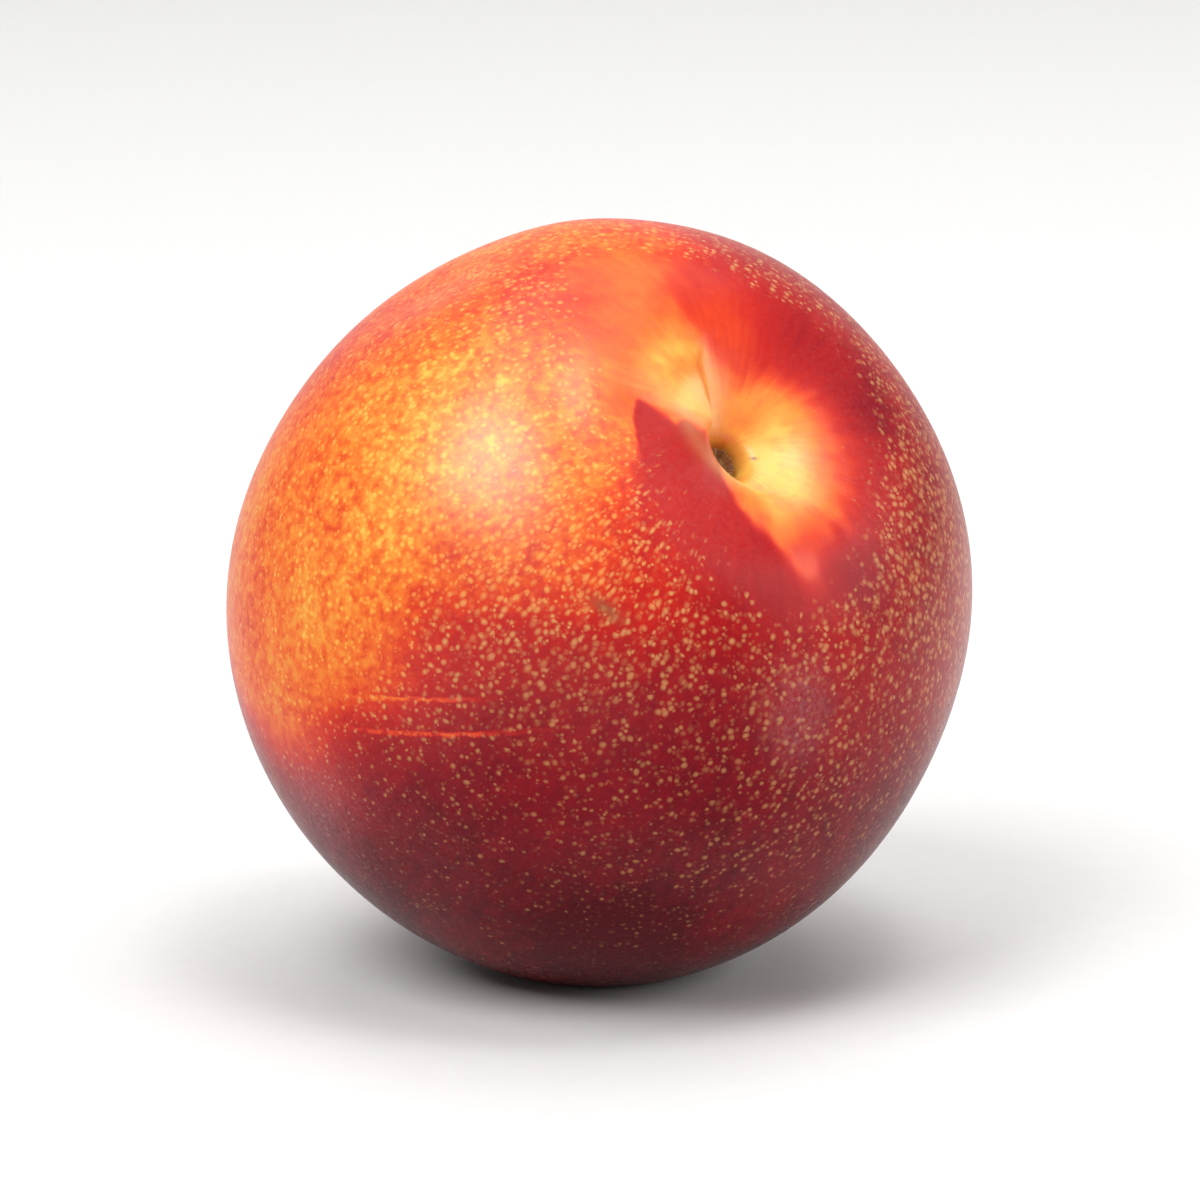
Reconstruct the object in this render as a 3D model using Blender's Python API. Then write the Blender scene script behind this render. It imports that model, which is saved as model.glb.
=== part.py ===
"""An apricot lying on its side, with the short stub of its stalk left in the stem cavity.

Metres, +Z up. The origin is on the surface that the fruit rests on, straight below the fruit's middle.
Seen from -Y, the stem end faces the viewer, leaning up and to the right.

A place on the fruit is named by two angles. The polar angle runs from the stem, 0, to the blossom end, 180
degrees. The azimuth runs round the stem from the suture, the seam that divides the fruit into two cheeks:
0 to 180 degrees is the left cheek, 0 to -180 degrees the right one.
"""

import math

import bmesh
import bpy
import numpy as np
from mathutils import Matrix, Vector

# The whole fruit.
MEAN_RADIUS = 0.0279
MIDDLE_HEIGHT = 0.0278
STEM_LEAN = math.radians(49.5)
STEM_HEADING = math.radians(-58.3)
SUTURE_ROLL = math.radians(181.0)

# The stem cavity: a wide bowl, a funnel in its bottom, and in that the narrow pit where the stalk grew.
# Places near the stem are also named ahead of it, towards the suture, and aside, to the left cheek, in radians.
BOWL_DEPTH = 0.0046
BOWL_SPREAD = 0.36
BOWL_WIDER = 0.12
BOWL_WIDER_AZIMUTH = math.radians(-120.0)
FUNNEL_DEPTH = 0.0016
FUNNEL_SPREAD = 0.17
PIT_DEPTH = 0.0025
PIT_SPREAD = 0.078
PIT_AHEAD = -0.055
PIT_ASIDE = 0.028

# The overhanging cheek: the left cheek stands high up to a steep rim round the pit. The rim is part of a
# circle that opens away from the cheek, and a seam joins it to the suture.
CHEEK_DIP = 0.0020
RIM_AHEAD = -0.045
RIM_ASIDE = 0.018
RIM_RADIUS = 0.118
RIM_OPENING = 0.6
RIM_OPENING_POWER = 3
RIM_AZIMUTH = math.radians(110.0)
RIM_SOFTNESS = 0.007
RIM_SOFTNESS_INSIDE = 0.3
SEAM_ASIDE = 0.035
SEAM_BEND_AHEAD = 0.01
SEAM_BEND = 0.05
OVERHANG_AZIMUTH = math.radians(88.0)
OVERHANG_POWER = 1.5
OVERHANG_REACH = 0.28
OVERHANG_REACH_POWER = 4

# The suture: a soft trough from stem to blossom end, deepest near both.
TROUGH_DEPTH = 0.0003
TROUGH_HALF_WIDTH = 0.15
TROUGH_MIDWAY = 0.15
TROUGH_NEAR_STEM = 0.85
TROUGH_NEAR_TIP = 0.6
TROUGH_REACH = 0.5
TROUGH_SIDE_SOFTNESS = 0.17

# The blossom end: a low point with a small dimple in its tip.
TIP_HEIGHT = 0.0006
TIP_SPREAD = 0.30
DIMPLE_DEPTH = 0.0005
DIMPLE_SPREAD = 0.07

# Where the fruit swells out of round or is flattened: polar angle, azimuth and spread in degrees, height in
# millimetres.
SWELLS = {
    "shoulder right of the suture": (52, -33, 24, 0.72),
    "shoulder left of the suture": (48, 60, 22, 0.28),
    "flat on the left cheek": (92, 38, 26, -0.65),
    "flat on the right cheek": (81, -134, 24, -0.52),
    "full over the suture": (50, 4, 12, 0.47),
    "flat left of the suture": (61, 30, 12, -0.85),
    "full lower left": (128, 122, 34, 0.2),
    "full underside": (118, 172, 32, 0.9),
    "full back": (110, -60, 36, 0.15),
}

# The skin's mesh: rings from stem to blossom end, closer together towards the stem.
RINGS = 60
MERIDIANS = 80
RING_CROWDING = 1.5

# The stub of the stalk: a short woody peg in the bottom of the pit, widening to its broken, hollowed end.
STUB_RADIUS = 0.0012
STUB_FOOT_RADIUS = 0.0007
STUB_LENGTH = 0.0013
STUB_HOLLOW_RADIUS = 0.0007
STUB_HOLLOW_DEPTH = 0.0004
STUB_SIDES = 14
STUB_FOOT_SPREAD = 0.038
STUB_GAP = 0.00056
STUB_UNEVEN = 0.00010

SKIN_RED = (0.55, 0.045, 0.03, 1.0)
STALK_BROWN = (0.30, 0.14, 0.045, 1.0)


def clear_scene():
    """Removes whatever the scene holds."""
    for obj in list(bpy.data.objects):
        bpy.data.objects.remove(obj, do_unlink=True)


def material(name, colour, roughness):
    """A plain non-metallic material of one colour."""
    made = bpy.data.materials.new(name)
    made.use_nodes = True
    shader = made.node_tree.nodes["Principled BSDF"]
    shader.inputs["Base Color"].default_value = colour
    shader.inputs["Roughness"].default_value = roughness
    shader.inputs["Metallic"].default_value = 0.0
    return made


def direction(polar, azimuth):
    """Unit vectors in the fruit's own frame: +Z to the stem, +X to the suture."""
    return np.stack(
        [
            np.sin(polar) * np.cos(azimuth),
            np.sin(polar) * np.sin(azimuth),
            np.cos(polar),
        ],
        axis=-1,
    )


def slope(value, half_width):
    """Rises smoothly from 0 to 1 as the value passes through 0, mostly within the half width."""
    return 0.5 + 0.5 * np.tanh(value / half_width)


def swell(polar, azimuth, place):
    """A smooth rise, or a flattening if its height is negative, round one place on the skin."""
    at_polar, at_azimuth, spread, height = place
    middle = direction(math.radians(at_polar), math.radians(at_azimuth))
    apart = np.arccos(np.clip(direction(polar, azimuth) @ middle, -1, 1))
    return height / 1000 * np.exp(-((apart / math.radians(spread)) ** 2))


def seen_from(middle_ahead, middle_aside, polar, azimuth):
    """Distance and heading from a middle beside the stem, on the skin laid flat round the stem."""
    ahead = polar * np.cos(azimuth) - middle_ahead
    aside = polar * np.sin(azimuth) - middle_aside
    return np.hypot(ahead, aside), np.arctan2(aside, ahead)


def overhang(polar, azimuth):
    """1 where the left cheek stands high over the pit, 0 where the skin sinks into the bowl."""
    out, heading = seen_from(RIM_AHEAD, RIM_ASIDE, polar, azimuth)
    softness = RIM_SOFTNESS * (out / RIM_RADIUS + RIM_SOFTNESS_INSIDE)
    facing_away = 0.5 - 0.5 * np.cos(heading - RIM_AZIMUTH)
    rim = RIM_RADIUS + RIM_OPENING * facing_away**RIM_OPENING_POWER
    bend = slope(SEAM_BEND_AHEAD - polar * np.cos(azimuth), SEAM_BEND)
    seam = SEAM_ASIDE + (RIM_ASIDE + RIM_RADIUS - SEAM_ASIDE) * bend
    high = 1 - slope(rim - out, softness) * slope(seam - polar * np.sin(azimuth), softness)
    high *= (0.5 + 0.5 * np.cos(heading - OVERHANG_AZIMUTH)) ** OVERHANG_POWER
    return high * np.exp(-((polar / OVERHANG_REACH) ** OVERHANG_REACH_POWER))


def stem_cavity(polar, azimuth):
    """How far the bowl, its funnel and the pit sink below the round form, less under the overhanging cheek."""
    high = overhang(polar, azimuth)
    from_pit = seen_from(PIT_AHEAD, PIT_ASIDE, polar, azimuth)[0]
    widening = 1 + BOWL_WIDER * np.cos(azimuth - BOWL_WIDER_AZIMUTH)
    depth = BOWL_DEPTH - (BOWL_DEPTH - CHEEK_DIP) * high
    bowl = depth * np.exp(-((polar / (BOWL_SPREAD * widening)) ** 2))
    funnel = FUNNEL_DEPTH * np.exp(-((from_pit / FUNNEL_SPREAD) ** 2))
    pit = PIT_DEPTH * np.exp(-((from_pit / PIT_SPREAD) ** 4))
    return bowl + (funnel + pit) * (1 - high)


def suture(polar, azimuth):
    """How far the seam sinks below the two cheeks. Its sides are measured from the suture's plane."""
    aside = np.sin(polar) * np.sin(azimuth)
    near_stem = np.exp(-((polar / TROUGH_REACH) ** 2))
    near_tip = np.exp(-(((polar - math.pi) / TROUGH_REACH) ** 2))
    depth = TROUGH_DEPTH * (TROUGH_MIDWAY + TROUGH_NEAR_STEM * near_stem + TROUGH_NEAR_TIP * near_tip)
    this_side = slope(np.sin(polar) * np.cos(azimuth), TROUGH_SIDE_SOFTNESS)
    return depth * np.exp(-((aside / TROUGH_HALF_WIDTH) ** 2)) * this_side


def blossom_end(polar):
    """The low point at the far end, less the dimple in its tip."""
    back = math.pi - polar
    point = TIP_HEIGHT * np.exp(-((back / TIP_SPREAD) ** 2))
    return point - DIMPLE_DEPTH * np.exp(-((back / DIMPLE_SPREAD) ** 2))


def skin_radius(polar, azimuth):
    """Distance of the skin from the fruit's middle, in metres."""
    radius = MEAN_RADIUS - stem_cavity(polar, azimuth) - suture(polar, azimuth) + blossom_end(polar)
    for place in SWELLS.values():
        radius += swell(polar, azimuth, place)
    return radius


def placement():
    """Turns the fruit's own frame to how it lies, and lifts its middle over the origin."""
    turn = Matrix.Rotation(STEM_HEADING, 4, "Z") @ Matrix.Rotation(STEM_LEAN, 4, "Y")
    turn = turn @ Matrix.Rotation(SUTURE_ROLL, 4, "Z")
    return Matrix.Translation((0, 0, MIDDLE_HEIGHT)) @ turn


def fruit(skin):
    """The whole fruit in one solid: a sphere drawn out to the skin's form and pressed flat where it rests."""
    mesh = bpy.data.meshes.new("fruit")
    bm = bmesh.new()
    bmesh.ops.create_uvsphere(bm, u_segments=MERIDIANS, v_segments=RINGS, radius=1.0)
    start = np.array([vert.co for vert in bm.verts])
    azimuth = np.arctan2(start[:, 1], start[:, 0])
    polar = math.pi * (np.arccos(np.clip(start[:, 2], -1, 1)) / math.pi) ** RING_CROWDING
    points = direction(polar, azimuth) * skin_radius(polar, azimuth)[:, None]
    place = placement()
    for vert, point in zip(bm.verts, points):
        vert.co = place @ Vector(point)
        vert.co.z = max(vert.co.z, 0.0)
    bm.to_mesh(mesh)
    bm.free()
    mesh.shade_smooth()
    mesh.materials.append(skin)
    return bpy.data.objects.new("fruit", mesh)


def stub_lift():
    """Distance from the fruit's middle to the foot of the stub, clear of the pit's floor and walls."""
    around = np.linspace(-math.pi, math.pi, 73)
    ahead = PIT_AHEAD + STUB_FOOT_SPREAD * np.cos(around)
    aside = PIT_ASIDE + STUB_FOOT_SPREAD * np.sin(around)
    floor = skin_radius(np.hypot(ahead, aside), np.arctan2(aside, ahead))
    return float(floor.max()) + STUB_GAP


def stalk_stub(bark):
    """The peg left of the stalk: a stick that widens to its broken end, hollowed by an inset pushed in."""
    mesh = bpy.data.meshes.new("stalk_stub")
    bm = bmesh.new()
    bmesh.ops.create_cone(
        bm,
        cap_ends=True,
        segments=STUB_SIDES,
        radius1=STUB_FOOT_RADIUS,
        radius2=STUB_RADIUS,
        depth=STUB_LENGTH,
    )
    top = max(bm.faces, key=lambda face: face.calc_center_median().z)
    bmesh.ops.inset_region(bm, faces=[top], thickness=STUB_RADIUS - STUB_HOLLOW_RADIUS)
    for vert in top.verts:
        vert.co.z -= STUB_HOLLOW_DEPTH
    for vert in bm.verts:
        around = math.atan2(vert.co.y, vert.co.x)
        if vert.co.z > 0:
            vert.co.z += STUB_UNEVEN * (math.sin(2 * around + 0.7) + 0.6 * math.sin(5 * around))
    pit_polar = math.hypot(PIT_AHEAD, PIT_ASIDE)
    pit_azimuth = math.atan2(PIT_ASIDE, PIT_AHEAD)
    lean = Matrix.Rotation(pit_azimuth, 4, "Z") @ Matrix.Rotation(pit_polar, 4, "Y")
    lift = Matrix.Translation((0, 0, stub_lift() + STUB_LENGTH / 2))
    bmesh.ops.transform(bm, matrix=placement() @ lean @ lift, verts=bm.verts)
    bm.to_mesh(mesh)
    bm.free()
    mesh.materials.append(bark)
    return bpy.data.objects.new("stalk_stub", mesh)


def main():
    clear_scene()
    apricot = bpy.data.collections.new("apricot")
    bpy.context.scene.collection.children.link(apricot)
    apricot.objects.link(fruit(material("skin", SKIN_RED, 0.38)))
    apricot.objects.link(stalk_stub(material("stalk", STALK_BROWN, 0.8)))


main()
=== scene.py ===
"""A ripe apricot lying on a pale studio floor, with smooth speckled skin, red over gold, and the stub of its stalk.

Metres, +Z up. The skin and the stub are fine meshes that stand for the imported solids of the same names.
A place on the skin is named by two angles, in degrees: the polar angle runs from the stem, 0, to the blossom
end, 180, and the azimuth runs round the stem from the suture, 0 to 180 over the left cheek, 0 to -180 over the
right one.
"""

import math

import bpy
import numpy as np
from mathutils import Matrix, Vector


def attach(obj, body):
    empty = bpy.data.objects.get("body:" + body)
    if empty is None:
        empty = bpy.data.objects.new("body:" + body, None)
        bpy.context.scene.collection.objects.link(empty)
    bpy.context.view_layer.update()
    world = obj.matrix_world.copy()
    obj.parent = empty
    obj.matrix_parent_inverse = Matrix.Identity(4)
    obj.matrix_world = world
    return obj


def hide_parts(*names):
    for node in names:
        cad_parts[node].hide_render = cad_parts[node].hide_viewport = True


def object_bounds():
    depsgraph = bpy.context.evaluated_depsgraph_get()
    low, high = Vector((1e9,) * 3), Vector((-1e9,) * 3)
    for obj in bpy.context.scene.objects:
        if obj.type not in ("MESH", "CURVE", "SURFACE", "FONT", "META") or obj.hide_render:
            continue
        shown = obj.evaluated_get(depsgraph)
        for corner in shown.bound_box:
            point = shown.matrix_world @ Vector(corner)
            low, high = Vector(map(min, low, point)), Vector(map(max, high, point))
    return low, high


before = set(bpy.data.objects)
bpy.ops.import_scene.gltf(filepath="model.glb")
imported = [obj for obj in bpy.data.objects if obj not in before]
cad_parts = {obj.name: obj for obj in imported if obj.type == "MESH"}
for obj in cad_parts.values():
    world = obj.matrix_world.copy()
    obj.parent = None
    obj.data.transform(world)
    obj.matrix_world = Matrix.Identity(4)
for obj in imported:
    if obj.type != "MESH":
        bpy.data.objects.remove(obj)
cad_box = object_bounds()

# The form of the fruit. It is grown in one piece: two cheeks parted by the suture, a wide bowl at the stem end with
# the pit of the stalk in its bottom, and a low point at the blossom end. These are the driving sizes of the solid.
MEAN_RADIUS = 0.0279
MIDDLE_HEIGHT = 0.0278
STEM_LEAN = math.radians(49.5)
STEM_HEADING = math.radians(-58.3)
SUTURE_ROLL = math.radians(181.0)
BOWL_DEPTH, BOWL_SPREAD = 0.0046, 0.36
BOWL_WIDER, BOWL_WIDER_AZIMUTH = 0.12, math.radians(-120.0)
FUNNEL_DEPTH, FUNNEL_SPREAD = 0.0016, 0.17
PIT_DEPTH, PIT_SPREAD = 0.0025, 0.078
PIT_AHEAD, PIT_ASIDE = -0.055, 0.028
CHEEK_DIP = 0.0020
RIM_AHEAD, RIM_ASIDE = -0.045, 0.018
RIM_RADIUS, RIM_OPENING, RIM_AZIMUTH, RIM_SOFTNESS = 0.118, 0.6, math.radians(110.0), 0.007
SEAM_ASIDE, SEAM_BEND_AHEAD, SEAM_BEND = 0.035, 0.01, 0.05
OVERHANG_AZIMUTH, OVERHANG_POWER, OVERHANG_REACH = math.radians(88.0), 1.5, 0.28
TROUGH_DEPTH, TROUGH_HALF_WIDTH = 0.0003, 0.15
TIP_HEIGHT, TIP_SPREAD = 0.0006, 0.30
DIMPLE_DEPTH, DIMPLE_SPREAD = 0.0005, 0.07
SWELLS = {
    "shoulder right of the suture": (52, -33, 24, 0.72),
    "shoulder left of the suture": (48, 60, 22, 0.28),
    "flat on the left cheek": (92, 38, 26, -0.65),
    "flat on the right cheek": (81, -134, 24, -0.52),
    "full over the suture": (50, 4, 12, 0.47),
    "flat left of the suture": (61, 30, 12, -0.85),
    "full lower left": (128, 122, 34, 0.2),
    "full underside": (118, 172, 32, 0.9),
    "full back": (110, -60, 36, 0.15),
}


def direction(polar, azimuth):
    """Unit vectors in the fruit's own frame: +Z to the stem, +X to the suture."""
    return np.stack([np.sin(polar) * np.cos(azimuth), np.sin(polar) * np.sin(azimuth), np.cos(polar)], axis=-1)


def slope(value, half_width):
    """Rises smoothly from 0 to 1 as the value passes through 0, mostly within the half width."""
    return 0.5 + 0.5 * np.tanh(value / half_width)


def seen_from(middle_ahead, middle_aside, polar, azimuth):
    """Distance and direction from a middle beside the stem, on the skin laid flat round the stem."""
    ahead = polar * np.cos(azimuth) - middle_ahead
    aside = polar * np.sin(azimuth) - middle_aside
    return np.hypot(ahead, aside), np.arctan2(aside, ahead)


def overhang(polar, azimuth):
    """1 where the left cheek stands high over the pit and 0 where the skin sinks into the bowl. The edge between them
    is a steep rim round the pit that opens to the right, joined to a seam that runs from it into the suture."""
    out, heading = seen_from(RIM_AHEAD, RIM_ASIDE, polar, azimuth)
    softness = RIM_SOFTNESS * (out / RIM_RADIUS + 0.3)
    rim = RIM_RADIUS + RIM_OPENING * (0.5 - 0.5 * np.cos(heading - RIM_AZIMUTH)) ** 3
    bend = slope(SEAM_BEND_AHEAD - polar * np.cos(azimuth), SEAM_BEND)
    seam = SEAM_ASIDE + (RIM_ASIDE + RIM_RADIUS - SEAM_ASIDE) * bend
    high = 1 - slope(rim - out, softness) * slope(seam - polar * np.sin(azimuth), softness)
    high *= (0.5 + 0.5 * np.cos(heading - OVERHANG_AZIMUTH)) ** OVERHANG_POWER
    return high * np.exp(-((polar / OVERHANG_REACH) ** 4))


def skin_radius(polar, azimuth):
    """Distance of the skin from the middle: a sphere, less bell curves for the bowl, its funnel and the pit, which
    are shallower under the overhanging cheek, less the suture's trough on the suture's side, with a low point at the
    blossom end and a swell or a flat here and there."""
    high = overhang(polar, azimuth)
    from_pit = seen_from(PIT_AHEAD, PIT_ASIDE, polar, azimuth)[0]
    widening = 1 + BOWL_WIDER * np.cos(azimuth - BOWL_WIDER_AZIMUTH)
    bowl = np.exp(-((polar / (BOWL_SPREAD * widening)) ** 2)) * (BOWL_DEPTH - (BOWL_DEPTH - CHEEK_DIP) * high)
    funnel = FUNNEL_DEPTH * np.exp(-((from_pit / FUNNEL_SPREAD) ** 2))
    pit = PIT_DEPTH * np.exp(-((from_pit / PIT_SPREAD) ** 4))
    trough = TROUGH_DEPTH * np.exp(-((np.sin(polar) * np.sin(azimuth) / TROUGH_HALF_WIDTH) ** 2))
    trough *= 0.15 + 0.85 * np.exp(-((polar / 0.5) ** 2)) + 0.6 * np.exp(-(((polar - math.pi) / 0.5) ** 2))
    trough *= slope(np.sin(polar) * np.cos(azimuth), 0.17)
    back = math.pi - polar
    tip = TIP_HEIGHT * np.exp(-((back / TIP_SPREAD) ** 2)) - DIMPLE_DEPTH * np.exp(-((back / DIMPLE_SPREAD) ** 2))
    radius = MEAN_RADIUS - bowl - (funnel + pit) * (1 - high) - trough + tip
    towards = direction(polar, azimuth)
    for at_polar, at_azimuth, spread, height in SWELLS.values():
        middle = direction(math.radians(at_polar), math.radians(at_azimuth))
        apart = np.arccos(np.clip(towards @ middle, -1, 1))
        radius += height / 1000 * np.exp(-((apart / math.radians(spread)) ** 2))
    return radius


def turning(angle, axis):
    """The 3 x 3 matrix of a turn about Y or Z."""
    c, s = math.cos(angle), math.sin(angle)
    if axis == "Z":
        return np.array([[c, -s, 0], [s, c, 0], [0, 0, 1]])
    return np.array([[c, 0, s], [0, 1, 0], [-s, 0, c]])


LIE = turning(STEM_HEADING, "Z") @ turning(STEM_LEAN, "Y") @ turning(SUTURE_ROLL, "Z")


def lay(points):
    """Turns points of the fruit's own frame to how it lies, with its middle straight over the origin."""
    return points @ LIE.T + np.array([0.0, 0.0, MIDDLE_HEIGHT])


# The skin's surface: rings round the stem, closer together towards it, closed by one point at each end, and pressed
# flat where the fruit's weight rests.
RINGS = 298
MERIDIANS = 320
RING_CROWDING = 1.35

ring = np.pi * (np.arange(1, RINGS) / RINGS) ** RING_CROWDING
around = np.linspace(-np.pi, np.pi, MERIDIANS, endpoint=False)
polar, azimuth = (grid.ravel() for grid in np.meshgrid(ring, around, indexing="ij"))
polar = np.concatenate([polar, [0.0, np.pi]])
azimuth = np.concatenate([azimuth, [0.0, 0.0]])


def net_faces(rings, meridians):
    """Corner numbers of a closed net: quads between neighbouring rings, and a fan of triangles round each of the two
    end points, which come after the rings' points. All are wound to face outwards."""
    number = np.arange(rings * meridians).reshape(rings, meridians)
    after = np.roll(number, -1, axis=1)
    quads = np.stack([number[:-1], number[1:], after[1:], after[:-1]], axis=-1).reshape(-1, 4)
    first, last = rings * meridians, rings * meridians + 1
    near_fan = np.stack([np.full(meridians, first), number[0], after[0]], axis=-1)
    far_fan = np.stack([np.full(meridians, last), after[-1], number[-1]], axis=-1)
    return quads.tolist() + near_fan.tolist() + far_fan.tolist()


skin_points = lay(direction(polar, azimuth) * skin_radius(polar, azimuth)[:, None])
skin_points[:, 2] = np.maximum(skin_points[:, 2], 0.0)
skin_mesh = bpy.data.meshes.new("apricot_skin")
skin_mesh.from_pydata(skin_points.tolist(), [], net_faces(RINGS - 1, MERIDIANS))
skin_mesh.shade_smooth()

# Where the skin's colour lies. The blush, from 0 for bare gold to 1 for maroon, covers the side that faced the sun,
# and the same field carries painted shade that darkens the underside. The blush's edge crosses the left cheek and
# comes to the pit in jagged teeth, and the bowl round the pit stays pale.
rng = np.random.default_rng(11)


def waver(points, wavelength, waves=16):
    """A smooth uneven field from about -1 to 1: the mean of sine waves in random directions and phases."""
    headings = rng.normal(size=(3, waves))
    headings *= 2 * np.pi / wavelength / np.linalg.norm(headings, axis=0)
    phases = rng.uniform(0, 2 * np.pi, waves)
    return np.sin(points @ headings + phases).sum(axis=1) / math.sqrt(waves)


def compass(at_polar, at_azimuth):
    """Three unit vectors at a place on the skin: out from the middle, away from the stem, and round the stem."""
    p, a = math.radians(at_polar), math.radians(at_azimuth)
    away = np.array([math.cos(p) * math.cos(a), math.cos(p) * math.sin(a), -math.sin(p)])
    return direction(p, a), away, np.array([-math.sin(a), math.cos(a), 0.0])


def oval(at_polar, at_azimuth, along, across, turn=0.0, firmness=4.0):
    """1 inside an oval on the skin and 0 outside. along and across are its half lengths in degrees, along being
    away from the stem before the turn. A firm one has a sharp edge."""
    middle, away, aside = compass(at_polar, at_azimuth)
    towards = direction(polar, azimuth)
    apart = np.degrees(np.arccos(np.clip(towards @ middle, -1, 1)))
    bearing = np.arctan2(towards @ aside, towards @ away) - math.radians(turn)
    reach = apart * np.hypot(np.cos(bearing) / along, np.sin(bearing) / across)
    return slope(1 - reach, 1 / firmness)


polar_degrees, azimuth_degrees = np.degrees(polar), np.degrees(azimuth)

# The colour deepens downwards, partly the blush and partly painted shade of the underside: its depth is named by
# height over the floor in millimetres.
BLUSH_AND_SHADE_BY_HEIGHT = {0: 1.05, 8: 1.04, 14: 0.99, 20: 0.92, 25: 0.85, 30: 0.79, 36: 0.76, 45: 0.76, 56: 0.77}

# On the left cheek the blush ends at these azimuths, named by polar angle: in teeth by the pit, then softly.
BLUSH_EDGE = {
    0: 95, 8: 95, 9.6: 91, 10.6: 84, 12.3: 88, 13.2: 79, 15: 73, 17.8: 68, 18.8: 80, 20: 96, 22: 100, 26: 108,
    34: 115, 42: 114, 48: 109, 53: 105, 60: 102, 68: 106, 75: 109, 85: 107, 95: 102, 104: 96, 112: 88, 122: 70,
    132: 30, 140: 0, 180: 0,
}
# The gold reaches from there to these azimuths, over the suture and down the hidden back.
GOLD_EDGE = {0: 2, 20: 1, 26: 0, 36: -9, 52: -10, 70: -14, 90: -10, 110: 0, 125: 20, 180: 20}
# Round the pit the pale bowl ends at these polar angles, named by azimuth.
BOWL_EDGE = {
    -172: 27, -168: 24, -158: 23, -150: 23, -135: 21, -120: 20, -100: 19.5, -75: 17, -60: 14.5, -48: 12.5, -35: 10.5,
    -27: 9.5, -15: 10.5, -6: 14, 3: 19, 20: 20, 40: 19, 60: 20, 68: 18, 73: 13, 84: 9.5, 95: 8.5, 113: 8.8,
    135: 10, 147: 12.5, 160: 16, 173: 20.5, 180: 25,
}


def along_table(value, table, period=None):
    """Reads a value between the named points of a table, in straight lines."""
    return np.interp(value, list(table), list(table.values()), period=period)


# Colour depth by height: the blush with painted shade, darkest underneath.
blush_and_shade = along_table(1000 * skin_points[:, 2], BLUSH_AND_SHADE_BY_HEIGHT)
across_arc = np.sin(polar)
past_blush_edge = (azimuth_degrees - along_table(polar_degrees, BLUSH_EDGE)) * across_arc
past_gold_edge = (azimuth_degrees - along_table(polar_degrees, GOLD_EDGE)) * across_arc
uneven = waver(skin_points, 0.011)
ragged = waver(skin_points, 0.0014)
edge_softness = np.interp(polar_degrees, [8, 18, 20, 24, 30, 70, 95], [0.35, 0.6, 1.0, 4.0, 7.0, 8.0, 14])
gold = slope(-past_blush_edge - 0.25 * edge_softness * uneven - 0.45 * ragged, edge_softness)
gold *= slope(past_gold_edge - 1.2 * uneven, np.interp(polar_degrees, [10, 30, 60], [1.5, 3.0, 12.0]))


def stain(field, mask, depth):
    """Takes the field towards one depth of colour where the mask covers it."""
    return field * (1 - mask) + depth * mask


# Places where the blush is deeper or thinner than that, and then places in the gold. Each row gives an oval's polar
# angle, azimuth, two half lengths and firmness, and last the depth of colour there.
BLUSH_PLACES = [
    (33, -90, 12, 24, 2, 0.87),
    (49, -124, 18, 20, 2, 0.82),
    (24, -40, 13, 12, 1.8, 0.70),
    (26, -125, 6, 20, 2, 0.72),
    (28.5, -84, 4.5, 8, 2, 0.92),
    (24, -60, 5, 8, 2, 0.80),
    (32, -156, 6, 7, 2, 0.86),
    (25, -12, 9, 7, 1.6, 0.60),
    (17, -16, 7, 4.5, 2, 0.50),
    (54, 111, 15, 8, 2, 0.67),
    (33, 126, 9, 11, 2, 0.61),
    (17, 122, 8, 14, 2, 0.64),
]
GOLD_DEPTH = 0.31
GOLD_PLACES = [
    (66, 80, 34, 17, 2, 0.25),
    (46, 66, 14, 13, 2, 0.18),
    (68, 38, 26, 12, 2, 0.44),
    (36, 30, 12, 10, 2, 0.44),
    (28, 14, 13, 7, 2, 0.34),
    (96, 88, 18, 16, 2, 0.27),
]
for *where, firmness, colour_depth in BLUSH_PLACES:
    blush_and_shade = stain(blush_and_shade, oval(*where, firmness=firmness), colour_depth)
blush_and_shade = stain(blush_and_shade, gold, GOLD_DEPTH)
for *where, firmness, colour_depth in GOLD_PLACES:
    blush_and_shade = stain(blush_and_shade, gold * oval(*where, firmness=firmness), colour_depth)
blush_and_shade += 0.03 * waver(skin_points, 0.016)

# Two thin healed scratches lie across the blush below the gold: polar angle, azimuth, half length, heading, strength.
SCRATCHES = [(70.1, 113.1, 9.8, 139.3, 0.75), (71.6, 119.1, 12.3, 136.9, 1.0)]


def plane_along(at_polar, at_azimuth, turn):
    """The unit normal, as the fruit lies, of the plane through its middle that cuts the skin along an oval's length."""
    middle, away, aside = compass(at_polar, at_azimuth)
    return LIE @ np.cross(middle, away * math.cos(math.radians(turn)) + aside * math.sin(math.radians(turn)))


# The pale bowl: yellow round the pit, orange at its rim, and a tongue of orange that runs down from it. Along the
# fold that runs up from the pit where the left cheek ends, colour is painted to offset the crease's shade: painted
# light. The places in the bowl are given as those of the blush are.
BOWL_PLACES = [
    (10, -34, 6, 5, 2, 0.19),
    (10, -158, 6, 5, 2, 0.04),
    (26, -170, 5, 5, 2.5, 0.52),
    (8, -60, 3.5, 3, 2, 0.15),
    (13, 23, 5, 4, 2, 0.07),
    (13, 42, 5.5, 5, 2, 0.11),
]
bowl_edge = along_table(azimuth_degrees, BOWL_EDGE, period=360)
teeth = waver(np.stack([np.cos(azimuth), np.sin(azimuth), 0 * azimuth], axis=-1), 0.16, 20)
rim_softness = along_table(
    azimuth_degrees, {-165: 2.4, -120: 3.2, -60: 3.2, -20: 2.5, 0: 3, 30: 4, 62: 2.0, 74: 0.6, 150: 0.7, 172: 1.2}, 360
)
in_bowl = slope(bowl_edge + 0.3 * teeth * rim_softness / 2 + 0.35 * ragged - polar_degrees, rim_softness)
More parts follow.
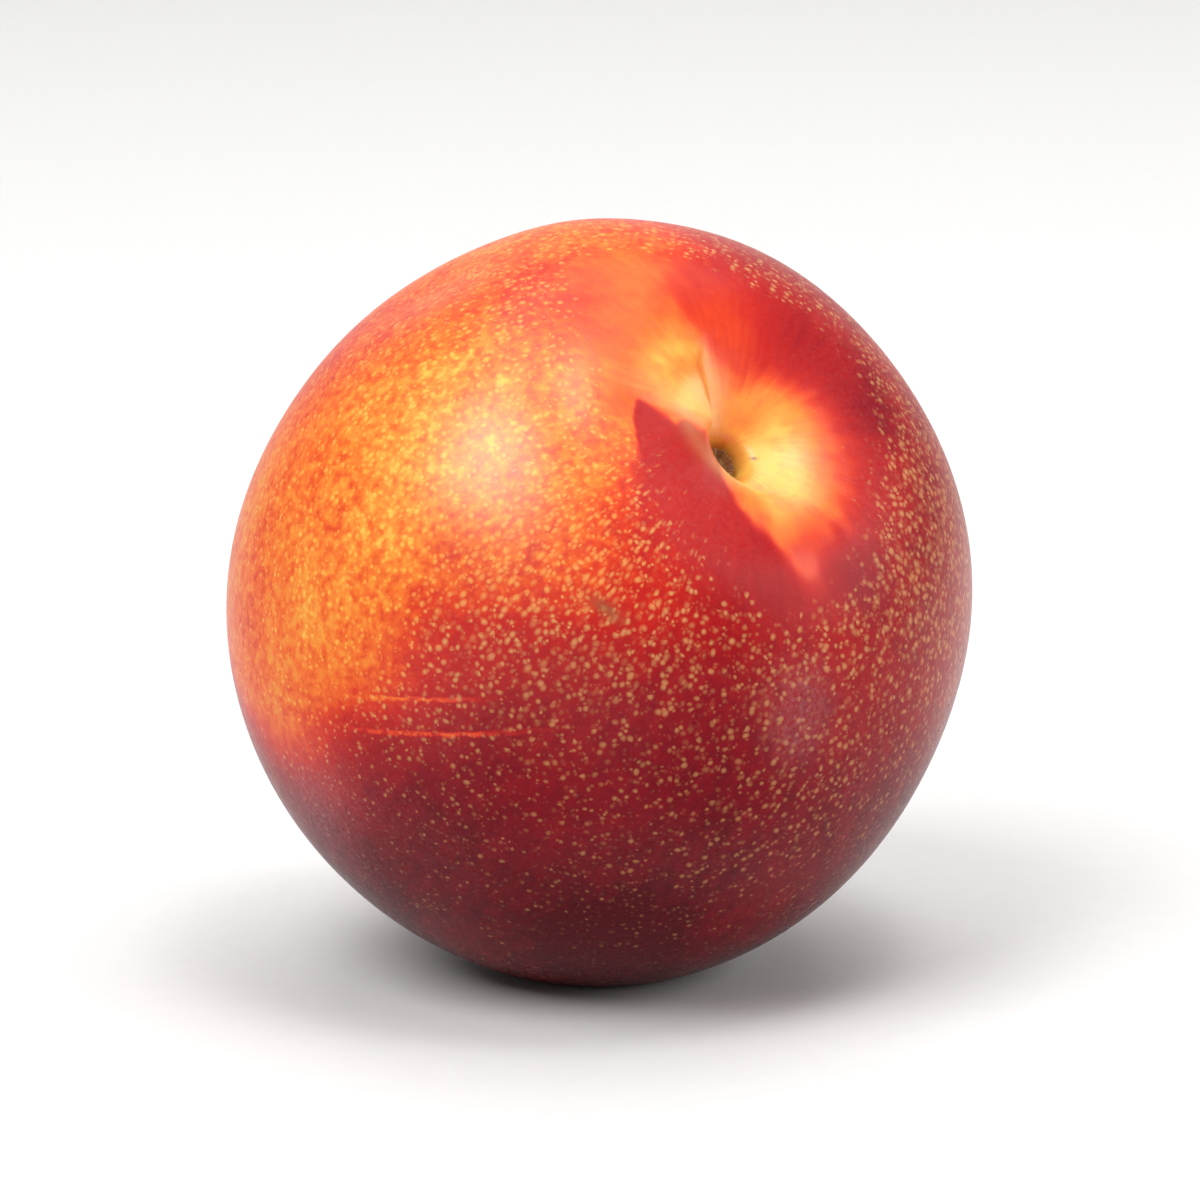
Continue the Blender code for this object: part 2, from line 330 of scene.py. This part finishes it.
yellow = slope(0.68 * bowl_edge - polar_degrees, 0.5 * rim_softness + 2.5)
tongue_down = oval(23, -176, 5.2, 2.6, firmness=2.2)
blush_and_shade = stain(blush_and_shade, tongue_down, 0.56)
blush_and_shade = stain(blush_and_shade, in_bowl, 0.30 - 0.25 * yellow)
for *where, firmness, colour_depth in BOWL_PLACES:
    blush_and_shade = stain(blush_and_shade, in_bowl * oval(*where, firmness=firmness), colour_depth)
high = overhang(polar, azimuth)
# Painted light: colour laid along the crease above the pit to offset its shade.
fold_painted_light = np.exp(-(((high - 0.2) / 0.22) ** 2)) * slope(13.5 - polar_degrees, 2) * slope(70 - np.abs(azimuth_degrees), 8)
blush_and_shade = stain(blush_and_shade, 0.85 * fold_painted_light, 0.30)

# How thick the pores stand, how large they are in millimetres, and where the grey bloom of wax still lies.
PORES_START = {
    -180: 32, -150: 29, -120: 26, -90: 27, -60: 29, -30: 28, 0: 35, 20: 38, 45: 27, 70: 21, 95: 18, 112: 19, 130: 23,
    150: 27, 170: 31,
}
# Where pores are larger, and where bloom lies, as rows of the same form that end in a pore's radius in millimetres and
# in how thick the bloom is.
PORE_SIZE_PLACES = [
    (46, -146, 22, 30, 2, 0.27),
    (41, -118, 14, 20, 2, 0.33),
    (38, -40, 9, 28, 2, 0.27),
]
BLOOM_PLACES = [
    (104, 113, 9, 8, 1.3, 0.9),
    (47, 178, 7, 5, 2, 0.45),
    (70, -160, 18, 9, 2, 0.15),
    (96, 128, 14, 12, 2, 0.12),
    (30, -95, 14, 40, 2, 0.10),
    (17, 122, 6, 12, 2, 0.12),
]
pores = slope(polar_degrees - along_table(azimuth_degrees, PORES_START, 360) - 1, 3)
pore_size = along_table(polar_degrees, {20: 0.19, 35: 0.235, 58: 0.24, 75: 0.205, 95: 0.16, 140: 0.16, 170: 0.20})
for *where, firmness, size in PORE_SIZE_PLACES:
    pore_size = stain(pore_size, oval(*where, firmness=firmness), size)
pores = stain(pores, oval(42, -120, 14, 20, firmness=2), 1.2)
pores *= along_table(1000 * skin_points[:, 2], {0: 0.6, 12: 0.65, 22: 0.85, 30: 1.0})
fine_pores = slope(polar_degrees - 58, 12)
chains = oval(41, 112, 17, 19, firmness=2.2)
bloom = 0.03 + 0.03 * waver(skin_points, 0.012)
for *where, firmness, thickness in BLOOM_PLACES:
    bloom = stain(bloom, oval(*where, firmness=firmness), thickness)
bloom *= 1 - slope(0.9 * bowl_edge - polar_degrees, 2)

# Where the wax is rubbed shiny, where the pit is corky round the stub, a small scuff with a speck in the bowl, and a
# painted highlight: a pale line along the lip of the cheek over the pit, where its rolled edge catches the light.
polished = 0.9 * oval(40, 82, 18, 22, firmness=1.5) + 0.7 * in_bowl + 0.35 * oval(50, -125, 26, 16, firmness=1.5)
from_pit = np.degrees(seen_from(PIT_AHEAD, PIT_ASIDE, polar, azimuth)[0])
corky = slope(3.2 - from_pit + 0.25 * teeth, 0.45)
scuff = 0.75 * oval(40.5, 128, 2.3, 0.8, 92.0, firmness=1.6) + oval(6.1, -131, 0.5, 0.32, firmness=2)
# Painted highlight: a pale line where the cheek's rolled edge over the pit catches the light.
lip_highlight = np.exp(-(((high - 0.5) / 0.3) ** 2)) * slope(11 - polar_degrees, 1)

# Streaks fan out from the stem, so their pattern is laid on a cone round it: nearly even along, quick to change across.
STREAKS_ROUND = 18.0
STREAKS_ALONG = 8.0
fan = np.stack([STREAKS_ROUND * np.cos(azimuth), STREAKS_ROUND * np.sin(azimuth), STREAKS_ALONG * polar], axis=-1)

# How far along its plane each scratch shows.
scratched = [
    strength * oval(at_polar, at_azimuth, half_length, 2.0, heading, firmness=2.5)
    for at_polar, at_azimuth, half_length, heading, strength in SCRATCHES
]

# The mesh carries these fields at its points, where the material reads them.
for name, field in {
    "blush_and_shade": blush_and_shade, "pores": pores, "pore_size": pore_size, "fine_pores": fine_pores, "chains": chains, "bloom": bloom,
    "corky": corky, "lip_highlight": lip_highlight, "scuff": scuff, "polished": polished, "scratch_1": scratched[0],
    "scratch_2": scratched[1],
}.items():
    layer = skin_mesh.attributes.new(name, "FLOAT", "POINT")
    layer.data.foreach_set("value", np.clip(field, 0, 1.2).astype(np.float32))
layer = skin_mesh.attributes.new("fan", "FLOAT_VECTOR", "POINT")
layer.data.foreach_set("vector", fan.astype(np.float32).ravel())


def put(tree, kind, inputs=None, **settings):
    """Adds a node to a tree, with its settings, and its inputs given as plain values or as other nodes' sockets."""
    made = tree.nodes.new(kind)
    for name, value in settings.items():
        setattr(made, name, value)
    for name, value in (inputs or {}).items():
        if isinstance(value, bpy.types.NodeSocket):
            tree.links.new(value, made.inputs[name])
        else:
            made.inputs[name].default_value = value
    return made


def reckon(tree, operation, *values, clamp=False):
    """One Math node's result."""
    return put(tree, "ShaderNodeMath", dict(enumerate(values)), operation=operation, use_clamp=clamp).outputs[0]


def blend_colours(tree, share, first, second):
    """The first colour where share is 0 and the second where it is 1."""
    return put(tree, "ShaderNodeMix", {0: share, 6: first, 7: second}, data_type="RGBA").outputs[2]


def field_of(tree, name, output="Fac"):
    """A field that the mesh carries at its points."""
    return put(tree, "ShaderNodeAttribute", attribute_name=name).outputs[output]


def new_group(name, inputs, outputs):
    """An empty node group with named sockets, and its input and output nodes."""
    tree = bpy.data.node_groups.new(name, "ShaderNodeTree")
    for label, (kind, value) in inputs.items():
        socket = tree.interface.new_socket(label, in_out="INPUT", socket_type=kind)
        if value is not None:
            socket.default_value = value
    for label, kind in outputs.items():
        tree.interface.new_socket(label, in_out="OUTPUT", socket_type=kind)
    return tree, tree.nodes.new("NodeGroupInput").outputs, tree.nodes.new("NodeGroupOutput").inputs


FLOAT, VECTOR = "NodeSocketFloat", "NodeSocketVector"

# Mottle: soft uneven spots about 0, as in skin, bark and paint. Place is in millimetres, Grain in spots a millimetre.
mottle, given, result = new_group(
    "mottle",
    {"Place": (VECTOR, None), "Grain": (FLOAT, 1.0), "Detail": (FLOAT, 2.0), "Depth": (FLOAT, 1.0)},
    {"Value": FLOAT},
)
cloud = put(
    mottle, "ShaderNodeTexNoise", {"Vector": given["Place"], "Scale": given["Grain"], "Detail": given["Detail"]}
).outputs["Fac"]
mottle.links.new(reckon(mottle, "MULTIPLY", reckon(mottle, "SUBTRACT", cloud, 0.5), given["Depth"]), result["Value"])

# Pale pores: soft round spots scattered through space, which the skin cuts at random, so they differ in size. Each
# has its own strength, and only a share of them is there.
pale_pores, given, result = new_group(
    "pale_pores",
    {"Place": (VECTOR, None), "Spacing": (FLOAT, 1.0), "Radius": (FLOAT, 0.2), "Share": (FLOAT, 1.0)},
    {"Mask": FLOAT},
)
cells = put(
    pale_pores, "ShaderNodeTexVoronoi",
    {"Vector": given["Place"], "Scale": reckon(pale_pores, "DIVIDE", 1.0, given["Spacing"])},
)
chance = put(pale_pores, "ShaderNodeSeparateColor", {0: cells.outputs["Color"]}).outputs
away = reckon(pale_pores, "MULTIPLY", cells.outputs["Distance"], given["Spacing"])
radius = reckon(pale_pores, "MULTIPLY", given["Radius"], reckon(pale_pores, "MULTIPLY_ADD", chance[0], 0.9, 0.65))
reach = reckon(pale_pores, "DIVIDE", away, radius)
dome = reckon(pale_pores, "MULTIPLY_ADD", reckon(pale_pores, "MULTIPLY", reach, reach), -1.0, 1.0, clamp=True)
inside = reckon(pale_pores, "MULTIPLY", reckon(pale_pores, "MULTIPLY", dome, dome), 1.15, clamp=True)
kept = reckon(pale_pores, "MULTIPLY", reckon(pale_pores, "SUBTRACT", given["Share"], chance[1]), 2.5, clamp=True)
pale_pores.links.new(reckon(pale_pores, "MULTIPLY", inside, kept), result["Mask"])


def use_group(tree, group, **inputs):
    """Places a node group in a material with its own values."""
    return put(tree, "ShaderNodeGroup", inputs, node_tree=group).outputs


# The skin's finish: thin red pigment over gold, broken by mottling and pores, with a semi-gloss of wax.
SKIN_COLOURS = {
    0.00: (0.88, 0.50, 0.085), 0.14: (0.80, 0.28, 0.040), 0.30: (0.78, 0.140, 0.022), 0.46: (0.66, 0.048, 0.014),
    0.62: (0.49, 0.017, 0.012), 0.78: (0.34, 0.009, 0.011), 0.92: (0.20, 0.002, 0.009), 1.05: (0.08, 0.000, 0.004),
}
PORE_ON_GOLD = (0.84, 0.40, 0.06, 1.0)
PORE_ON_RED = (0.64, 0.32, 0.12, 1.0)
WAX_GREY = (0.42, 0.22, 0.24, 1.0)
CORK_BROWN = (0.06, 0.024, 0.007, 1.0)
SCUFF_BROWN = (0.22, 0.095, 0.045, 1.0)
# The cream of the painted highlight on the lip over the pit.
LIP_HIGHLIGHT_CREAM = (0.88, 0.56, 0.22, 1.0)

# Sizes in the pattern, in millimetres: the spacing of large and fine pores, of the pores that stand in rows beside the
# bowl and their radius, and half the width of a scratch. Last, in metres, how high the skin's grain stands.
PORE_SPACING, FINE_PORE_SPACING = 0.48, 0.36
ROW_SPACING, ROW_PORE_RADIUS = 0.43, 0.21
SCRATCH_HALF_WIDTH = 0.25
GRAIN_HEIGHT = 0.00014

skin = bpy.data.materials.new("apricot_skin")
skin.use_nodes = True
tree = skin.node_tree
shader = tree.nodes["Principled BSDF"]
place = put(tree, "ShaderNodeVectorMath", {0: put(tree, "ShaderNodeTexCoord").outputs["Object"], "Scale": 1000.0},
            operation="SCALE").outputs[0]
depth = field_of(tree, "blush_and_shade")
pore_share = field_of(tree, "pores")
pore_radius = field_of(tree, "pore_size")
wax = field_of(tree, "bloom")
fan_place = field_of(tree, "fan", "Vector")
goldness = reckon(tree, "MULTIPLY_ADD", depth, -2.2, 1.5, clamp=True)

# Mottling of the pigment: clouds, flecks and streaks that run to the stem, strongest where the pigment is thin.
clouds = use_group(tree, mottle, Place=place, Grain=0.30, Detail=3.0,
                   Depth=reckon(tree, "MULTIPLY_ADD", goldness, 0.30, 0.08))["Value"]
flecks = use_group(tree, mottle, Place=place, Grain=1.4, Detail=3.0, Depth=1.0)["Value"]
streaks = use_group(tree, mottle, Place=fan_place, Grain=1.1, Detail=3.0, Depth=0.13)["Value"]
fleck_depth = reckon(tree, "MULTIPLY_ADD", goldness, 0.52, 0.16)
fleck_share = reckon(tree, "MULTIPLY_ADD", pore_share, 0.8, 0.2)
speckled = reckon(tree, "MULTIPLY", reckon(tree, "MULTIPLY", flecks, fleck_depth), fleck_share)
tinted = reckon(tree, "ADD", reckon(tree, "ADD", depth, clouds), reckon(tree, "ADD", speckled, streaks))

# Along a scratch the pigment is thin: within a hair's breadth of its plane, and not quite straight.
for which, (at_polar, at_azimuth, _, heading, _) in enumerate(SCRATCHES, start=1):
    normal = plane_along(at_polar, at_azimuth, heading)
    off_line = put(tree, "ShaderNodeVectorMath", {0: place, 1: tuple(normal)}, operation="DOT_PRODUCT").outputs["Value"]
    off_line = reckon(tree, "SUBTRACT", off_line, 1000 * MIDDLE_HEIGHT * normal[2])
    off_line = reckon(tree, "DIVIDE", reckon(tree, "MULTIPLY_ADD", flecks, 0.5, off_line), SCRATCH_HALF_WIDTH)
    line = reckon(tree, "MULTIPLY_ADD", reckon(tree, "MULTIPLY", off_line, off_line), -1.0, 1.0, clamp=True)
    line = reckon(tree, "MULTIPLY", line, reckon(tree, "MULTIPLY_ADD", flecks, 4.0, 0.7, clamp=True))
    line = reckon(tree, "MULTIPLY", line, field_of(tree, f"scratch_{which}"))
    tinted = reckon(tree, "SUBTRACT", tinted, reckon(tree, "MULTIPLY", line, 0.50))

# Large and fine pores stand scattered, and others in rows beside the bowl. They thin the pigment a little, and then
# show their own pale colour over it, least where the blush is deepest.
drift = put(tree, "ShaderNodeTexNoise", {"Vector": place, "Scale": 0.6, "Detail": 1.0}).outputs["Color"]
drifted = put(
    tree, "ShaderNodeVectorMath", {0: drift, 1: (0.5, 0.5, 0.5), 2: place}, operation="MULTIPLY_ADD"
).outputs[0]
large = use_group(tree, pale_pores, Place=drifted, Spacing=PORE_SPACING, Radius=pore_radius,
                  Share=reckon(tree, "MULTIPLY", pore_share, 0.78))["Mask"]
fine_share = reckon(tree, "MULTIPLY", pore_share, reckon(tree, "MULTIPLY_ADD", field_of(tree, "fine_pores"), 0.15, 0.5))
fine_radius = reckon(tree, "MULTIPLY", pore_radius, 0.62)
fine = use_group(
    tree, pale_pores, Place=drifted, Spacing=FINE_PORE_SPACING, Radius=fine_radius, Share=fine_share
)["Mask"]
row_place = put(tree, "ShaderNodeVectorMath", {0: fan_place, 1: (1.0, 1.0, 2.1)}, operation="MULTIPLY").outputs[0]
linked = use_group(tree, pale_pores, Place=row_place, Spacing=ROW_SPACING, Radius=ROW_PORE_RADIUS,
                   Share=field_of(tree, "chains"))["Mask"]
spots = reckon(tree, "MAXIMUM", reckon(tree, "MULTIPLY", large, 0.90), reckon(tree, "MULTIPLY", fine, 0.42))
spots = reckon(tree, "MAXIMUM", spots, reckon(tree, "MULTIPLY", linked, 0.85))
thinned = reckon(tree, "MULTIPLY", spots, reckon(tree, "MULTIPLY", goldness, 0.18))
ramp = put(tree, "ShaderNodeValToRGB",
           {0: reckon(tree, "DIVIDE", reckon(tree, "SUBTRACT", tinted, thinned), 1.05, clamp=True)})
while len(ramp.color_ramp.elements) < len(SKIN_COLOURS):
    ramp.color_ramp.elements.new(0.5)
for stop, (position, colour) in zip(ramp.color_ramp.elements, SKIN_COLOURS.items()):
    stop.position = position / 1.05
    stop.color = (*colour, 1.0)

pore_colour = blend_colours(tree, goldness, PORE_ON_RED, PORE_ON_GOLD)
dimmed = reckon(tree, "MULTIPLY", spots, reckon(tree, "MULTIPLY_ADD", depth, -1.15, 1.6, clamp=True))
dimmed = reckon(tree, "MULTIPLY", dimmed, reckon(tree, "MULTIPLY_ADD", goldness, -0.50, 1.0, clamp=True))
colour = blend_colours(tree, dimmed, ramp.outputs["Color"], pore_colour)
# Painted highlight along the lip of the cheek over the pit.
colour = blend_colours(tree, reckon(tree, "MULTIPLY", field_of(tree, "lip_highlight"), 0.7), colour, LIP_HIGHLIGHT_CREAM)

# On top lie the dusty film of bloom, the scuff's dead skin and the cork round the stub.
dust = use_group(tree, mottle, Place=place, Grain=3.0, Detail=3.0, Depth=1.4)["Value"]
film = reckon(tree, "MULTIPLY", wax, reckon(tree, "ADD", dust, 0.40), clamp=True)
colour = blend_colours(tree, film, colour, WAX_GREY)
scuffed = reckon(tree, "MULTIPLY", field_of(tree, "scuff"), reckon(tree, "ADD", dust, 0.9), clamp=True)
colour = blend_colours(tree, scuffed, colour, SCUFF_BROWN)
colour = blend_colours(tree, field_of(tree, "corky"), colour, CORK_BROWN)
tree.links.new(colour, shader.inputs["Base Color"])

# Bloom and pores are duller than bare wax, the grain is barely raised, and rubbed places have a clear coat of wax.
rough = reckon(tree, "MULTIPLY_ADD", film, 0.35, reckon(tree, "MULTIPLY_ADD", pore_share, 0.06, 0.24))
rough = reckon(tree, "ADD", rough, reckon(tree, "MULTIPLY", flecks, 0.16))
tree.links.new(rough, shader.inputs["Roughness"])
relief = reckon(tree, "MULTIPLY_ADD", flecks, 0.5, reckon(tree, "MULTIPLY", large, 0.3))
bump = put(tree, "ShaderNodeBump", {"Strength": 0.45, "Distance": GRAIN_HEIGHT, "Height": relief})
tree.links.new(bump.outputs[0], shader.inputs["Normal"])
shader.inputs["Specular IOR Level"].default_value = 0.09
shader.inputs["Coat Roughness"].default_value = 0.34
shader.inputs["Coat IOR"].default_value = 1.6
uneven_shine = reckon(tree, "MULTIPLY_ADD", flecks, 1.2, 0.85)
buffed = reckon(tree, "MULTIPLY", field_of(tree, "polished"), uneven_shine, clamp=True)
tree.links.new(buffed, shader.inputs["Coat Weight"])

skin_mesh.materials.append(skin)
apricot_skin = bpy.data.objects.new("apricot_skin", skin_mesh)
bpy.context.scene.collection.objects.link(apricot_skin)
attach(apricot_skin, "root")
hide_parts("fruit")

# The stub of the stalk: a short peg of dry wood in the bottom of the pit, broken off across its fibres, so that its
# end is hollow and ragged.
STUB_RADIUS, STUB_FOOT_RADIUS = 0.00120, 0.00070
STUB_LENGTH = 0.0013
STUB_HOLLOW_RADIUS, STUB_HOLLOW_DEPTH = 0.0007, 0.0004
STUB_FOOT_SPREAD, STUB_GAP = 0.038, 0.00056
STUB_SIDES, STUB_ROWS = 72, 60

pit_polar, pit_azimuth = math.hypot(PIT_AHEAD, PIT_ASIDE), math.atan2(PIT_ASIDE, PIT_AHEAD)
foot_ring = np.linspace(-np.pi, np.pi, 73)
foot_ahead = PIT_AHEAD + STUB_FOOT_SPREAD * np.cos(foot_ring)
foot_aside = PIT_ASIDE + STUB_FOOT_SPREAD * np.sin(foot_ring)
stub_lift = skin_radius(np.hypot(foot_ahead, foot_aside), np.arctan2(foot_aside, foot_ahead)).max() + STUB_GAP
along, turn = np.meshgrid(
    np.linspace(0, 1, STUB_ROWS + 2)[1:-1], np.linspace(-np.pi, np.pi, STUB_SIDES, endpoint=False), indexing="ij"
)
outline_at = [0.0, 0.14, 0.60, 0.66, 0.80, 1.0]
outline_radius = [0.0, STUB_FOOT_RADIUS, STUB_RADIUS, STUB_RADIUS * 0.94, STUB_HOLLOW_RADIUS, 0.0]
outline_height = [0.0, 0.0, STUB_LENGTH * 0.97, STUB_LENGTH, STUB_LENGTH - STUB_HOLLOW_DEPTH,
                  STUB_LENGTH - STUB_HOLLOW_DEPTH * 1.2]
stub_radius = np.interp(along, outline_at, outline_radius)
stub_height = np.interp(along, outline_at, outline_height)
ridge = 0.5 * np.sin(9 * turn + 0.4) + 0.3 * np.sin(17 * turn + 1.9) + 0.2 * np.sin(29 * turn)
on_end = slope(along - 0.58, 0.05)
stub_radius = stub_radius * (1 + 0.035 * ridge * (1 - on_end)) + 0.00003 * ridge * on_end * (1 - along)
stub_height = stub_height + on_end * (1 - along) * 0.0004 * (ridge + 0.8 * np.sin(2 * turn + 0.7))
stub_points = np.stack([stub_radius * np.cos(turn), stub_radius * np.sin(turn), stub_height], axis=-1).reshape(-1, 3)
ends = [[0, 0, 0], [0, 0, STUB_LENGTH - 1.2 * STUB_HOLLOW_DEPTH]]
stub_points = np.concatenate([stub_points, ends]) + np.array([0, 0, stub_lift])
stub_mesh = bpy.data.meshes.new("broken_stalk")
lean_to_pit = turning(pit_azimuth, "Z") @ turning(pit_polar, "Y")
stub_faces = [face[::-1] for face in net_faces(STUB_ROWS, STUB_SIDES)]
stub_mesh.from_pydata(lay(stub_points @ lean_to_pit.T).tolist(), [], stub_faces)
stub_mesh.shade_smooth()
grain_place = np.stack([2.2 * np.cos(turn), 2.2 * np.sin(turn), 900 * stub_height + 2 * on_end], axis=-1).reshape(-1, 3)
grain_place = np.concatenate([grain_place, [[0, 0, 0], [0, 0, 2]]])
layer = stub_mesh.attributes.new("grain_place", "FLOAT_VECTOR", "POINT")
layer.data.foreach_set("vector", grain_place.astype(np.float32).ravel())
layer = stub_mesh.attributes.new("broken", "FLOAT", "POINT")
layer.data.foreach_set("value", np.concatenate([on_end.ravel(), [0, 1]]).astype(np.float32))

stalk = bpy.data.materials.new("dry_stalk")
stalk.use_nodes = True
tree = stalk.node_tree
shader = tree.nodes["Principled BSDF"]
fibre_place = put(tree, "ShaderNodeMapping", {0: field_of(tree, "grain_place", "Vector"), "Scale": (3.0, 3.0, 0.6)})
fibres = use_group(tree, mottle, Place=fibre_place.outputs[0], Grain=1.0, Detail=4.0, Depth=1.6)["Value"]
wood = put(tree, "ShaderNodeValToRGB", {0: reckon(tree, "ADD", fibres, 0.5, clamp=True)})
wood.color_ramp.elements[0].position, wood.color_ramp.elements[0].color = 0.1, (0.020, 0.008, 0.003, 1.0)
wood.color_ramp.elements[1].position, wood.color_ramp.elements[1].color = 0.9, (0.30, 0.115, 0.028, 1.0)
broken = field_of(tree, "broken")
pale_fibres = reckon(tree, "MULTIPLY", broken, reckon(tree, "ADD", fibres, 0.25, clamp=True), clamp=True)
tree.links.new(blend_colours(tree, pale_fibres, wood.outputs[0], (0.44, 0.21, 0.065, 1.0)), shader.inputs["Base Color"])
tree.links.new(reckon(tree, "MULTIPLY_ADD", fibres, 0.2, 0.75), shader.inputs["Roughness"])
bump = put(tree, "ShaderNodeBump", {"Strength": 0.6, "Distance": 0.0001, "Height": fibres})
tree.links.new(bump.outputs[0], shader.inputs["Normal"])

stub_mesh.materials.append(stalk)
broken_stalk = bpy.data.objects.new("broken_stalk", stub_mesh)
bpy.context.scene.collection.objects.link(broken_stalk)
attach(broken_stalk, "root")
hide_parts("stalk_stub")

# The studio floor: matt white board that runs level under the fruit and curves up behind it, so that no edge shows.
FLOOR_HALF_WIDTH = 1.6
FLOOR_FRONT, FLOOR_BEND, FLOOR_BEND_RADIUS, FLOOR_TOP = -1.6, 0.9, 0.5, 1.8

bend = np.linspace(0, np.pi / 2, 24)
bent_y = FLOOR_BEND + FLOOR_BEND_RADIUS * np.sin(bend)
floor_y = np.concatenate([[FLOOR_FRONT, -0.3, 0.3], bent_y, [FLOOR_BEND + FLOOR_BEND_RADIUS]])
floor_z = np.concatenate([[0, 0, 0], FLOOR_BEND_RADIUS * (1 - np.cos(bend)), [FLOOR_TOP]])
floor_x = np.linspace(-FLOOR_HALF_WIDTH, FLOOR_HALF_WIDTH, 5)
grid_x, grid_y = np.meshgrid(floor_x, floor_y, indexing="ij")
grid_z = np.meshgrid(floor_x, floor_z, indexing="ij")[1]
corner = np.arange(grid_x.size).reshape(grid_x.shape)
floor_faces = np.stack([corner[:-1, :-1], corner[1:, :-1], corner[1:, 1:], corner[:-1, 1:]], axis=-1).reshape(-1, 4)
floor_mesh = bpy.data.meshes.new("studio_floor")
floor_mesh.from_pydata(
    np.stack([grid_x.ravel(), grid_y.ravel(), grid_z.ravel()], axis=-1).tolist(), [], floor_faces.tolist()
)
floor_mesh.shade_smooth()

board = bpy.data.materials.new("white_board")
board.use_nodes = True
tree = board.node_tree
shader = tree.nodes["Principled BSDF"]
place = put(tree, "ShaderNodeVectorMath", {0: put(tree, "ShaderNodeTexCoord").outputs["Object"], "Scale": 1000.0},
            operation="SCALE").outputs[0]
tooth = use_group(tree, mottle, Place=place, Grain=0.5, Detail=3.0, Depth=1.0)["Value"]
tree.links.new(
    blend_colours(tree, reckon(tree, "ADD", tooth, 0.5, clamp=True), (0.74, 0.737, 0.732, 1), (0.78, 0.777, 0.772, 1)),
    shader.inputs["Base Color"],
)
tree.links.new(reckon(tree, "MULTIPLY_ADD", tooth, 0.1, 0.7), shader.inputs["Roughness"])
floor_mesh.materials.append(board)
studio_floor = bpy.data.objects.new("studio_floor", floor_mesh)
bpy.context.scene.collection.objects.link(studio_floor)

# The light: a soft box up to the left in front, a wide one overhead that keeps the floor white to its far end, a small
# one above that makes the bowl gleam, a weak one to the right, and a pale room all round.
FRUIT_MIDDLE = np.array([0.0, 0.0, MIDDLE_HEIGHT])
FLOOR_BEHIND = np.array([0.0, 0.40, 0.0])


def soft_box(name, aim, towards, distance, side, power):
    """A square area light at a distance from the point it aims at, in the given direction from it."""
    lamp = bpy.data.lights.new(name, "AREA")
    lamp.shape = "SQUARE"
    lamp.size = side
    lamp.energy = power
    holder = bpy.data.objects.new(name, lamp)
    unit = np.array(towards) / np.linalg.norm(towards)
    holder.location = aim + distance * unit
    holder.rotation_euler = Vector(unit).to_track_quat("Z", "Y").to_euler()
    bpy.context.scene.collection.objects.link(holder)


soft_box("key_light", FRUIT_MIDDLE, (-0.446, -0.485, 0.752), 1.2, 0.70, 11.5)
soft_box("overhead_light", FLOOR_BEHIND, (0.08, 0.0, 1.0), 1.5, 1.5, 15)
soft_box("top_light", FRUIT_MIDDLE, (0.184, -0.211, 0.96), 1.2, 0.30, 2.6)
soft_box("right_light", FRUIT_MIDDLE, (0.9, -0.25, 0.4), 1.3, 0.8, 7.5)
room = bpy.data.worlds.new("pale_room")
room.use_nodes = True
room.node_tree.nodes["Background"].inputs["Color"].default_value = (1.0, 0.99, 0.98, 1.0)
room.node_tree.nodes["Background"].inputs["Strength"].default_value = 0.18
bpy.context.scene.world = room
bpy.context.scene.view_settings.view_transform = "Standard"

# The camera: at the photograph's viewing angle and distance, aimed at the fruit, with a lens that lets it fill the
# given share of the picture's width.
VIEW_ELEVATION = math.radians(11.8)
VIEW_DISTANCE = 0.392
FRUIT_SHARE = 0.62

camera_data = bpy.data.cameras.new("camera")
picture_width = (cad_box[1].x - cad_box[0].x) / FRUIT_SHARE
camera_data.sensor_width = 36.0
camera_data.lens = camera_data.sensor_width * VIEW_DISTANCE / picture_width
camera_data.clip_start = 0.01
camera = bpy.data.objects.new("camera", camera_data)
camera.location = FRUIT_MIDDLE + VIEW_DISTANCE * np.array([0, -math.cos(VIEW_ELEVATION), math.sin(VIEW_ELEVATION)])
camera.rotation_euler = (math.pi / 2 - VIEW_ELEVATION, 0, 0)
bpy.context.scene.collection.objects.link(camera)
bpy.context.scene.camera = camera
